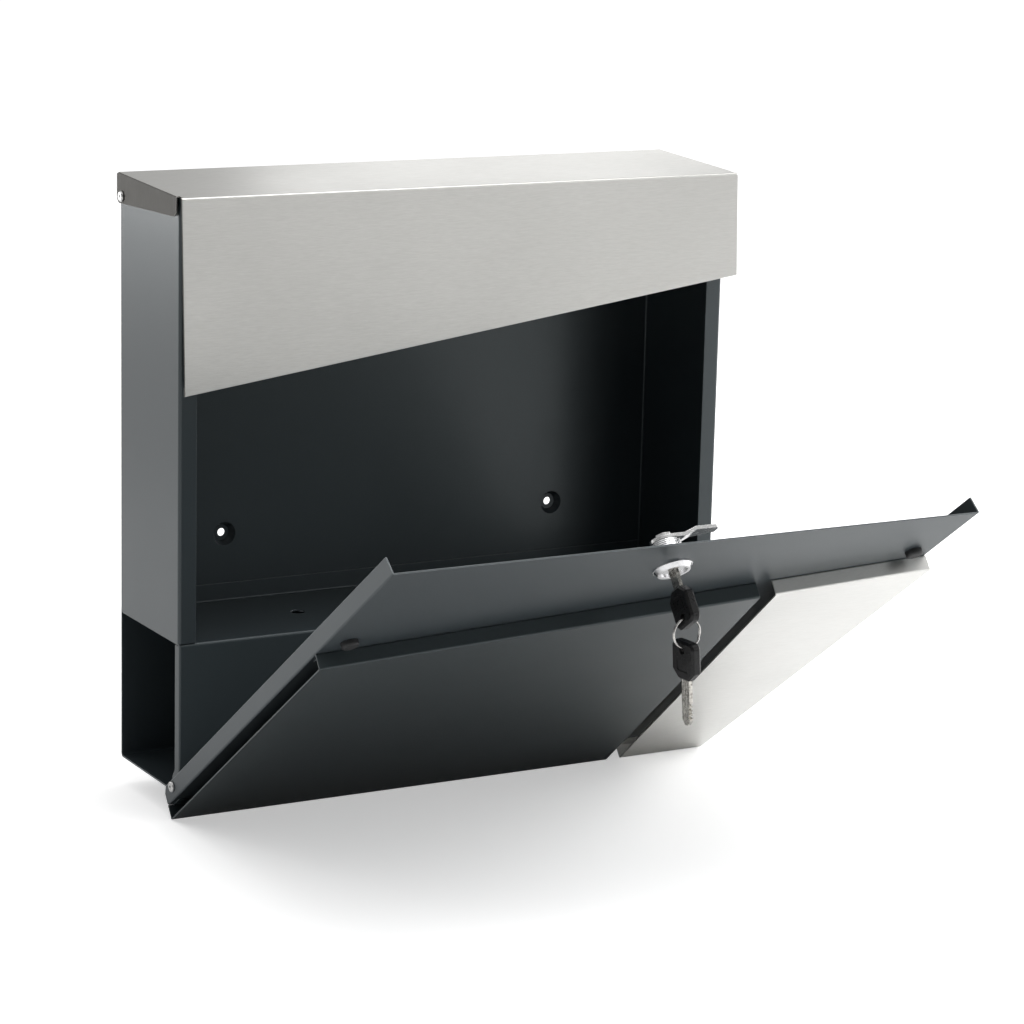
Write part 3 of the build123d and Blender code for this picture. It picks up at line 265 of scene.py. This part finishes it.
def finish_of(name, colour, metallic, roughness, coat=0.0):
    """A new material, its node tree and its Principled shader."""
    made = bpy.data.materials.new(name)
    made.use_nodes = True
    shader = made.node_tree.nodes["Principled BSDF"]
    shader.inputs["Base Color"].default_value = (*colour, 1)
    shader.inputs["Metallic"].default_value = metallic
    shader.inputs["Roughness"].default_value = roughness
    shader.inputs["Coat Weight"].default_value = coat
    return made, made.node_tree, shader


def mix_colour(tree, factor, first, second):
    """Two colours or sockets mixed by a socket."""
    made = tree.nodes.new("ShaderNodeMix")
    made.data_type = "RGBA"
    tree.links.new(factor, made.inputs["Factor"])
    for socket, value in ((made.inputs[6], first), (made.inputs[7], second)):
        if isinstance(value, tuple):
            socket.default_value = (*value, 1)
        else:
            tree.links.new(value, socket)
    return made.outputs[2]


def range_of(tree, value, low, high, from_low=0.0, from_high=1.0):
    """A value carried from one range to another."""
    made = node(tree, "MapRange", from_min=from_low, from_max=from_high, to_min=low, to_max=high)
    tree.links.new(value, made.inputs["Value"])
    return made.outputs[0]


def anthracite(name, deep, painted_edge_highlight, edge_highlight_share, gloss=0.36, coat_weight=0.0):
    """Anthracite powder coat: dark blue-grey, satin, with a painted highlight that lightens its edges."""
    made, tree, shader = finish_of(name, deep, 0.0, gloss, coat_weight)
    shader.inputs["Coat Roughness"].default_value = 0.16
    coat = place_group(tree, powder)
    soft = place_group(tree, edges, radius=0.0005)
    body = mix_colour(tree, coat.outputs["Cloud"], deep, tuple(c * 1.25 for c in deep))
    speckled = mix_colour(tree, coat.outputs["Speck"], body, tuple(c * 1.7 for c in deep))
    # Painted highlight: the edge mask mixes a lighter colour into the coat along every edge, for the thin
    # lines of light the edges catch.
    edged = mix_colour(tree, math_of(tree, "MULTIPLY", soft.outputs["Edge"], edge_highlight_share), speckled, painted_edge_highlight)
    tree.links.new(edged, shader.inputs["Base Color"])
    rough = range_of(tree, coat.outputs["Cloud"], gloss - 0.04, gloss + 0.06)
    tree.links.new(rough, shader.inputs["Roughness"])
    bump = node(tree, "Bump", strength=0.12, distance=0.0002)
    tree.links.new(coat.outputs["Height"], bump.inputs["Height"])
    tree.links.new(soft.outputs["Normal"], bump.inputs["Normal"])
    tree.links.new(bump.outputs[0], shader.inputs["Normal"])
    shader.inputs["IOR"].default_value = 1.62
    shader.inputs["Specular Tint"].default_value = (0.89, 0.98, 1.0, 1)
    return made


def dress(material, *names):
    """Give CAD nodes a material in all their slots."""
    for name in names:
        slots = frame["nodes"][name].data.materials
        for place in range(len(slots)):
            slots[place] = material
        if not len(slots):
            slots.append(material)


case_paint = anthracite("case_paint", (0.018, 0.0235, 0.027), (0.06, 0.068, 0.074), 0.25, 0.36, 0.12)
dress(case_paint, "case_shell")

# ---------------------------------------------------------------- the newspaper tube
# A second folded sheet: the compartment floor, turned up at the back, and folded down
# in front as the tube's wall. It has two drain holes and the same powder coat.

bin_paint = anthracite("bin_paint", (0.019, 0.025, 0.0285), (0.10, 0.11, 0.12), 0.6)
dress(bin_paint, "newspaper_bin")

# ---------------------------------------------------------------- the strike rail
# A narrow channel fixed between the sides, over the door opening. Letters slide over it
# and the cam of the lock turns up behind it.

dress(case_paint, "top_rail")

# ---------------------------------------------------------------- the rain flap
# Stainless sheet, brushed along its length before it was folded, so that the grain runs
# across the top and the skirt and turns down the cheeks with the fold.

brushing, brushing_in, brushing_out = group_of(
    "brush_grain",
    [("Streak Length", "Float", 0.006), ("Streak Width", "Float", 0.00040)],
    [("Fine", "Float"), ("Broad", "Float"), ("Smear", "Float"), ("Cheek", "Float")],
)
coordinates = node(brushing, "TexCoord")
facing = node(brushing, "NewGeometry")
across = node(brushing, "SeparateXYZ")
brushing.links.new(facing.outputs["Normal"], across.inputs[0])
on_cheek = math_of(brushing, "GREATER_THAN", math_of(brushing, "ABSOLUTE", across.outputs["X"]), 0.7)
turned = node(brushing, "Mapping", rotation=(0, math.pi / 2, 0))
brushing.links.new(coordinates.outputs["Object"], turned.inputs["Vector"])
along = brushing.nodes.new("ShaderNodeMix")
along.data_type = "VECTOR"
brushing.links.new(on_cheek, along.inputs["Factor"])
brushing.links.new(coordinates.outputs["Object"], along.inputs[4])
brushing.links.new(turned.outputs[0], along.inputs[5])
split = node(brushing, "SeparateXYZ")
brushing.links.new(along.outputs[1], split.inputs[0])


def streaks(length_factor, width_factor, detail):
    """Noise drawn out along X to the group's streak length and width, times the factors."""
    long_way = math_of(brushing, "DIVIDE", split.outputs["X"], brushing_in.outputs["Streak Length"])
    y_way = math_of(brushing, "DIVIDE", split.outputs["Y"], brushing_in.outputs["Streak Width"])
    z_way = math_of(brushing, "DIVIDE", split.outputs["Z"], brushing_in.outputs["Streak Width"])
    drawn = node(brushing, "CombineXYZ")
    brushing.links.new(math_of(brushing, "DIVIDE", long_way, length_factor), drawn.inputs["X"])
    brushing.links.new(math_of(brushing, "DIVIDE", y_way, width_factor), drawn.inputs["Y"])
    brushing.links.new(math_of(brushing, "DIVIDE", z_way, width_factor), drawn.inputs["Z"])
    noise = node(brushing, "TexNoise", scale=1.0, detail=detail, roughness=0.6)
    brushing.links.new(drawn.outputs[0], noise.inputs["Vector"])
    return noise.outputs[0]


brushing.links.new(streaks(1.0, 1.0, 2.0), brushing_out.inputs["Fine"])
brushing.links.new(streaks(1.6, 3.0, 2.0), brushing_out.inputs["Broad"])
smear = node(brushing, "TexNoise", scale=11.0, detail=2.0, roughness=0.5)
brushing.links.new(coordinates.outputs["Object"], smear.inputs["Vector"])
brushing.links.new(smear.outputs[0], brushing_out.inputs["Smear"])
brushing.links.new(on_cheek, brushing_out.inputs["Cheek"])


def brushed_stainless(name, light, dark, rough, cheek_shade_and_roughening=0.0):
    """Stainless sheet with a satin brushed grain. Its cheeks are painted with shade, pulled towards near
    black, and are rougher where the grain stands on end.
    """
    made, tree, shader = finish_of(name, light, 1.0, rough)
    grain = place_group(tree, brushing)
    soft = place_group(tree, edges, radius=0.0004)
    fine = range_of(tree, grain.outputs["Fine"], 0.0, 1.0, 0.3, 0.7)
    broad = range_of(tree, grain.outputs["Broad"], 0.0, 1.0, 0.3, 0.7)
    both = math_of(tree, "ADD", math_of(tree, "MULTIPLY", fine, 0.6), math_of(tree, "MULTIPLY", broad, 0.4))
    drawn = mix_colour(tree, both, dark, light)
    smeared = mix_colour(
        tree,
        range_of(tree, grain.outputs["Smear"], 0.0, 0.10, 0.35, 0.65),
        drawn,
        tuple(c * 0.55 for c in dark),
    )
    # Painted shade: where the cheek mask is set, the colour is pulled towards near black so the cheeks read
    # darker than the lit side.
    darkening = math_of(tree, "MULTIPLY", grain.outputs["Cheek"], cheek_shade_and_roughening)
    cheek_shaded = mix_colour(tree, darkening, smeared, (0.07, 0.067, 0.062))
    # Painted highlight: a pale colour is mixed in along the edges.
    painted_edge_highlight = math_of(tree, "MULTIPLY", soft.outputs["Edge"], 0.35)
    tree.links.new(mix_colour(tree, painted_edge_highlight, cheek_shaded, (0.86, 0.85, 0.83)), shader.inputs["Base Color"])
    base = range_of(tree, both, rough + 0.04, rough - 0.04)
    patch = math_of(tree, "MULTIPLY", grain.outputs["Smear"], 0.05)
    on_end = math_of(tree, "MULTIPLY", grain.outputs["Cheek"], 0.25 * cheek_shade_and_roughening)
    uneven = math_of(tree, "ADD", base, patch)
    tree.links.new(math_of(tree, "ADD", uneven, on_end), shader.inputs["Roughness"])
    bump = node(tree, "Bump", strength=0.22, distance=0.00003)
    tree.links.new(both, bump.inputs["Height"])
    tree.links.new(soft.outputs["Normal"], bump.inputs["Normal"])
    tree.links.new(bump.outputs[0], shader.inputs["Normal"])
    return made


# The flap's cheeks take painted shade, 0.94 of the way to near black.
stainless = brushed_stainless("flap_stainless", (0.735, 0.73, 0.703), (0.645, 0.64, 0.612), 0.31, 0.94)
dress(stainless, "flap")

# ---------------------------------------------------------------- the pivots
# Aluminium blind rivets that turn in the cheeks and in the door's returns, each with the
# dark stub of its steel pulling pin, and a black nylon washer between the sheets.

# Handling marks on bare or plated metal: short scratches in two directions, dull patches
# and small pits, each at the given size.
handling, handling_in, handling_out = group_of(
    "handling_marks",
    [("Mark Size", "Float", 0.0012)],
    [("Scratch", "Float"), ("Patch", "Float"), ("Pit", "Float")],
)
coordinates = node(handling, "TexCoord")
shrunk = node(handling, "VectorMath", operation="SCALE")
handling.links.new(coordinates.outputs["Object"], shrunk.inputs[0])
shrink = math_of(handling, "DIVIDE", 1.0, handling_in.outputs["Mark Size"])
handling.links.new(shrink, shrunk.inputs["Scale"])
lines = []
for tilt in ((0.4, 0.9, 0.3), (-0.7, -0.4, 1.2)):
    swung = node(handling, "Mapping", rotation=tilt, scale=(0.25, 4.0, 4.0))
    handling.links.new(shrunk.outputs[0], swung.inputs["Vector"])
    scratch = node(handling, "TexNoise", scale=1.0, detail=1.0, roughness=0.5)
    handling.links.new(swung.outputs[0], scratch.inputs["Vector"])
    lines.append(range_of(handling, scratch.outputs[0], 0.0, 1.0, 0.62, 0.72))
handling.links.new(math_of(handling, "MAXIMUM", lines[0], lines[1]), handling_out.inputs["Scratch"])
patch = node(handling, "TexNoise", scale=0.6, detail=3.0, roughness=0.6)
handling.links.new(shrunk.outputs[0], patch.inputs["Vector"])
handling.links.new(patch.outputs[0], handling_out.inputs["Patch"])
pit = node(handling, "TexVoronoi", scale=2.2, feature="F1")
handling.links.new(shrunk.outputs[0], pit.inputs["Vector"])
pitted = node(handling, "MapRange", from_min=0.05, from_max=0.16)
handling.links.new(pit.outputs["Distance"], pitted.inputs["Value"])
handling.links.new(pitted.outputs[0], handling_out.inputs["Pit"])


def handled_metal(name, colour, darkening, rough, mark_size, depth=0.00001, edge=0.3):
    """Bare or plated metal with handling marks, and a painted highlight brightening its edges."""
    made, tree, shader = finish_of(name, colour, 1.0, rough)
    marks = place_group(tree, handling, mark_size=mark_size)
    soft = place_group(tree, edges, radius=0.00025)
    patchy = mix_colour(tree, range_of(tree, marks.outputs["Patch"], 0.0, 1.0, 0.35, 0.7), colour, darkening)
    scratched = mix_colour(tree, math_of(tree, "MULTIPLY", marks.outputs["Scratch"], 0.35), patchy, colour)
    # Painted highlight: a brighter colour is mixed in along the edges as glints.
    edge_glint = tuple(min(0.95, c * 1.15 + 0.04) for c in colour)
    edged = mix_colour(tree, math_of(tree, "MULTIPLY", soft.outputs["Edge"], edge), scratched, edge_glint)
    tree.links.new(edged, shader.inputs["Base Color"])
    base = range_of(tree, marks.outputs["Patch"], rough, rough + 0.14, 0.3, 0.75)
    drag = math_of(tree, "MULTIPLY", marks.outputs["Scratch"], 0.10)
    tree.links.new(math_of(tree, "ADD", base, drag), shader.inputs["Roughness"])
    relief = math_of(tree, "SUBTRACT", marks.outputs["Pit"], marks.outputs["Scratch"])
    bump = node(tree, "Bump", strength=0.35, distance=depth)
    tree.links.new(relief, bump.inputs["Height"])
    tree.links.new(soft.outputs["Normal"], bump.inputs["Normal"])
    tree.links.new(bump.outputs[0], shader.inputs["Normal"])
    return made, tree, shader


rivet_metal = handled_metal("rivet_aluminium", (0.74, 0.74, 0.73), (0.50, 0.50, 0.49), 0.24, 0.0009)[0]
dress(rivet_metal, "flap_rivets", "hinge_rivets", "dark_panel_rivets", "steel_panel_rivets")
pin_metal = handled_metal("rivet_pin_steel", (0.26, 0.26, 0.265), (0.11, 0.10, 0.095), 0.38, 0.0005)[0]
dress(pin_metal, "flap_rivet_pins", "hinge_rivet_pins")


def moulded(name, colour, pale, rough, grain_size, depth, coat=0.0):
    """Moulded plastic or rubber: a fine grain, paler dusty patches and scuffed edges."""
    made, tree, shader = finish_of(name, colour, 0.0, rough, coat)
    marks = place_group(tree, handling, mark_size=grain_size)
    soft = place_group(tree, edges, radius=0.0003)
    dusty = mix_colour(tree, range_of(tree, marks.outputs["Patch"], 0.0, 0.55, 0.4, 0.75), colour, pale)
    scuffed = mix_colour(tree, math_of(tree, "MULTIPLY", soft.outputs["Edge"], 0.45), dusty, pale)
    tree.links.new(scuffed, shader.inputs["Base Color"])
    base = range_of(tree, marks.outputs["Patch"], rough, rough + 0.16, 0.3, 0.75)
    scratch = math_of(tree, "MULTIPLY", marks.outputs["Scratch"], 0.12)
    tree.links.new(math_of(tree, "ADD", base, scratch), shader.inputs["Roughness"])
    bump = node(tree, "Bump", strength=0.4, distance=depth)
    tree.links.new(marks.outputs["Patch"], bump.inputs["Height"])
    tree.links.new(soft.outputs["Normal"], bump.inputs["Normal"])
    tree.links.new(bump.outputs[0], shader.inputs["Normal"])
    return made


nylon = moulded("washer_nylon", (0.018, 0.018, 0.018), (0.05, 0.05, 0.048), 0.42, 0.0006, 0.00003)
dress(nylon, "flap_washers", "hinge_washers")

# ---------------------------------------------------------------- the door
# A shallow tray of thinner sheet, powder coated like the case, hinged at its lower
# corners. Its upper strip, with the lock, lies behind the flap when it is shut.

# Its edges take a strong painted highlight, a pale grey standing in for the bright line the light draws
# along the door's edges.
door_paint = anthracite("door_paint", (0.032, 0.039, 0.0435), (0.34, 0.36, 0.37), 0.95)
dress(door_paint, "door_sheet")

# ---------------------------------------------------------------- the raised panels
# Two folded panels riveted on the door: the long one powder coated like the case, the
# short one brushed stainless like the flap, parted by a gap square to the slant.

panel_paint = anthracite("panel_paint", (0.018, 0.024, 0.0265), (0.09, 0.10, 0.105), 0.6)
dress(panel_paint, "door_panel_dark")
steel_panel = brushed_stainless("panel_stainless", (0.86, 0.855, 0.83), (0.79, 0.785, 0.76), 0.30)
dress(steel_panel, "door_panel_steel")

# ---------------------------------------------------------------- the buffers
# Two soft round rubber buffers, stuck on the door so that the flap lands quietly.

rubber = moulded("buffer_rubber", (0.010, 0.0105, 0.011), (0.030, 0.031, 0.032), 0.50, 0.0009, 0.00005)
dress(rubber, "door_buffers")

# ---------------------------------------------------------------- the lock
# A die cast cam lock: bright chromed flange and threaded barrel, with a zinc plated
# hexagon nut, cam, washer and stud nut behind the door, and brass wafers in the plug.

chrome = handled_metal("lock_chrome", (0.86, 0.86, 0.87), (0.74, 0.74, 0.75), 0.07, 0.0010)[0]
dress(chrome, "lock_plug")

# The barrel's thread is cut square to the lock's axis, behind the door sheet only.
threaded, tree, shader = handled_metal("barrel_chrome", (0.86, 0.86, 0.87), (0.74, 0.74, 0.75), 0.08, 0.0010)
lock_joint = next(j for j in frame["joints"] if j["name"] == "lock_turn")
lock_axis = Vector(lock_joint["axis"]).normalized()
lock_place = Vector(lock_joint["pos_m"])
place = node(tree, "TexCoord")
from_lock = node(tree, "VectorMath", operation="SUBTRACT")
from_lock.inputs[1].default_value = lock_place
tree.links.new(place.outputs["Object"], from_lock.inputs[0])
out_of_door = node(tree, "VectorMath", operation="DOT_PRODUCT")
out_of_door.inputs[1].default_value = lock_axis
tree.links.new(from_lock.outputs[0], out_of_door.inputs[0])
thread_half_pitch = 0.0005
thread_start = -0.0010
turns = math_of(tree, "PINGPONG", out_of_door.outputs["Value"], thread_half_pitch)
behind = math_of(tree, "LESS_THAN", out_of_door.outputs["Value"], thread_start)
thread = math_of(tree, "MULTIPLY", turns, behind)
thread_bump = node(tree, "Bump", strength=0.7, distance=0.5)
tree.links.new(thread, thread_bump.inputs["Height"])
before = shader.inputs["Normal"].links[0].from_node
tree.links.new(before.outputs[0], thread_bump.inputs["Normal"])
tree.links.new(thread_bump.outputs[0], shader.inputs["Normal"])
dress(threaded, "lock_housing")

zinc = handled_metal("zinc_plate", (0.86, 0.86, 0.86), (0.66, 0.66, 0.65), 0.13, 0.0016)[0]
dress(zinc, "lock_nut", "lock_cam", "cam_washer", "cam_nut")
brass = handled_metal("wafer_brass", (0.72, 0.53, 0.25), (0.42, 0.30, 0.13), 0.24, 0.0008)[0]
dress(brass, "lock_wafers")

# ---------------------------------------------------------------- the keys
# Two stamped blades, nickel plated, with glossy black moulded bows. One key is in the
# lock and the other hangs from the ring.

# The nickel's edges, the teeth among them, take a strong painted glint.
nickel, tree, shader = handled_metal(
    "key_nickel", (0.70, 0.68, 0.63), (0.24, 0.23, 0.21), 0.10, 0.0011, 0.00003, 0.8
)

# The milled flats: fine cutter lines that run down the blade and catch the light.
place = node(tree, "TexCoord")
drawn = node(tree, "Mapping", scale=(1500.0, 1500.0, 130.0))
cutter = node(tree, "TexNoise", scale=1.0, detail=2.0, roughness=0.6)
tree.links.new(place.outputs["Object"], drawn.inputs["Vector"])
tree.links.new(drawn.outputs[0], cutter.inputs["Vector"])
milled = node(tree, "Bump", strength=0.9, distance=0.00022)
before = shader.inputs["Normal"].links[0].from_node
tree.links.new(cutter.outputs[0], milled.inputs["Height"])
tree.links.new(before.outputs[0], milled.inputs["Normal"])
tree.links.new(milled.outputs[0], shader.inputs["Normal"])
dress(nickel, "key_blade", "spare_key_blade")
bow = moulded(
    "key_bow_plastic", (0.004, 0.004, 0.0045), (0.012, 0.012, 0.0125), 0.24, 0.0009, 0.000012, 0.10
)
bow.node_tree.nodes["Principled BSDF"].inputs["Specular IOR Level"].default_value = 0.30
dress(bow, "key_head", "spare_key_head")

# ---------------------------------------------------------------- the key ring
# A split ring of hard spring wire, wound in two close turns, through both bows. Its cut
# ends lie at the side, where a nail parts them.

ring_low, ring_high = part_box("key_ring")
ring_middle = (ring_low + ring_high) / 2
ring_wire_share = 0.42
ring_wire = (ring_high.y - ring_low.y) * ring_wire_share
ring_radius = (ring_high.x - ring_low.x) / 2 - ring_wire
ring_steps = 144
ring_pitch = 2.1 * ring_wire
ring_turn = Matrix.Rotation(math.radians(25), 3, "Y")
coil = bmesh.new()
bmesh.ops.create_circle(coil, cap_ends=True, segments=12, radius=ring_wire)
bmesh.ops.translate(coil, verts=coil.verts, vec=(ring_radius, -ring_pitch, 0))
bmesh.ops.spin(
    coil,
    geom=coil.verts[:] + coil.edges[:] + coil.faces[:],
    cent=(0, 0, 0),
    axis=(0, 1, 0),
    dvec=(0, 2 * ring_pitch / ring_steps, 0),
    angle=4 * math.pi,
    steps=ring_steps,
    use_merge=False,
)
bmesh.ops.rotate(coil, verts=coil.verts, cent=(0, 0, 0), matrix=ring_turn)
bmesh.ops.translate(coil, verts=coil.verts, vec=ring_middle)
bmesh.ops.remove_doubles(coil, verts=coil.verts, dist=1e-7)
bmesh.ops.recalc_face_normals(coil, faces=coil.faces)
split_ring = bpy.data.objects.new("split_ring", bpy.data.meshes.new("split_ring"))
coil.to_mesh(split_ring.data)
coil.free()
for polygon in split_ring.data.polygons:
    polygon.use_smooth = True
ring_steel = handled_metal("ring_spring_steel", (0.82, 0.81, 0.79), (0.58, 0.57, 0.54), 0.12, 0.0006)[0]
split_ring.data.materials.append(ring_steel)
bpy.context.scene.collection.objects.link(split_ring)
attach(split_ring, "ring")
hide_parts("key_ring")
